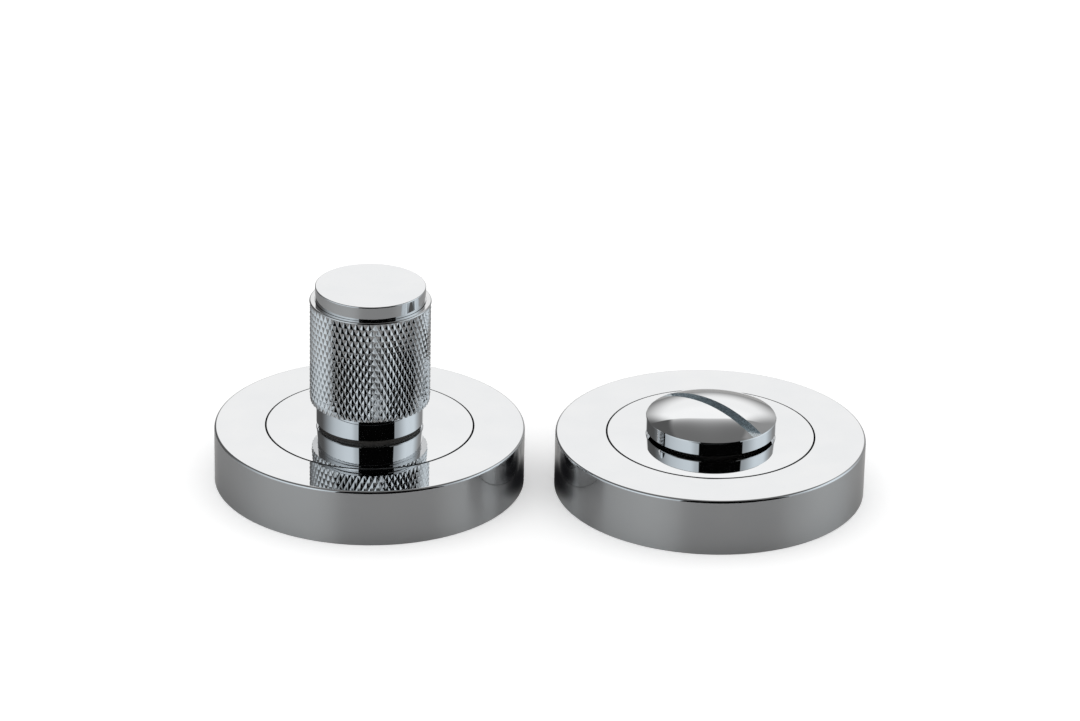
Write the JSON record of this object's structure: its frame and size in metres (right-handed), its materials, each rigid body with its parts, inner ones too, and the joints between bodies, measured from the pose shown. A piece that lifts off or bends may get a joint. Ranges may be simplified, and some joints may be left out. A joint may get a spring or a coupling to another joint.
{
  "type": "bathroom thumb turn lock",
  "caption": "Bathroom lock set: a knurled thumb turn and a coin release with a slotted, domed button, each on a round chromed rose with a domed centre disc.",
  "frame": {"origin": "on the door-side plane, midway between the axes of the two roses as they lie side by side", "axes": "+Z out of the door along both axes of rotation, +X from the thumb turn to the coin release, +Y away from the picture's camera"},
  "size_m": [0.109, 0.052, 0.0351],
  "materials": {
    "polished_chrome": "mirror-polished chrome plate on brass",
    "knurled_chrome": "chrome plate over a sharp diamond knurl",
    "cast_plate": "tumbled die-cast zinc, unplated",
    "black_nylon": "moulded black nylon",
    "spring_steel": "phosphated, oiled spring steel",
    "pressed_steel": "zinc-plated pressed steel"
  },
  "bodies": {
    "roses": {"turn_rose_cover": "polished_chrome", "turn_centre_disc": "polished_chrome", "turn_mounting_plate": "cast_plate", "turn_upper_bush": "black_nylon", "turn_lower_bush": "black_nylon", "release_rose_cover": "polished_chrome", "release_centre_disc": "polished_chrome", "release_mounting_plate": "cast_plate", "release_upper_bush": "black_nylon", "release_lower_bush": "black_nylon"},
    "thumb_turn": {"turn_stem": "polished_chrome", "turn_knurled_sleeve": "knurled_chrome", "turn_end_cap": "polished_chrome", "turn_stop_plate": "pressed_steel", "turn_spring_washer": "spring_steel", "turn_circlip": "spring_steel"},
    "coin_release": {"release_button": "polished_chrome", "release_stop_plate": "pressed_steel", "release_spring_washer": "spring_steel", "release_circlip": "spring_steel"}
  },
  "joints": [
    {"name": "turn_rotation", "type": "hinge", "parent": "roses", "child": "thumb_turn", "pos_m": [-0.02855, 0, 0], "axis": [0, 0, 1], "range_deg": [0, 90]},
    {"name": "release_rotation", "type": "hinge", "parent": "roses", "child": "coin_release", "pos_m": [0.02855, 0, 0], "axis": [0, 0, 1], "range_deg": [-45, 45]}
  ]
}
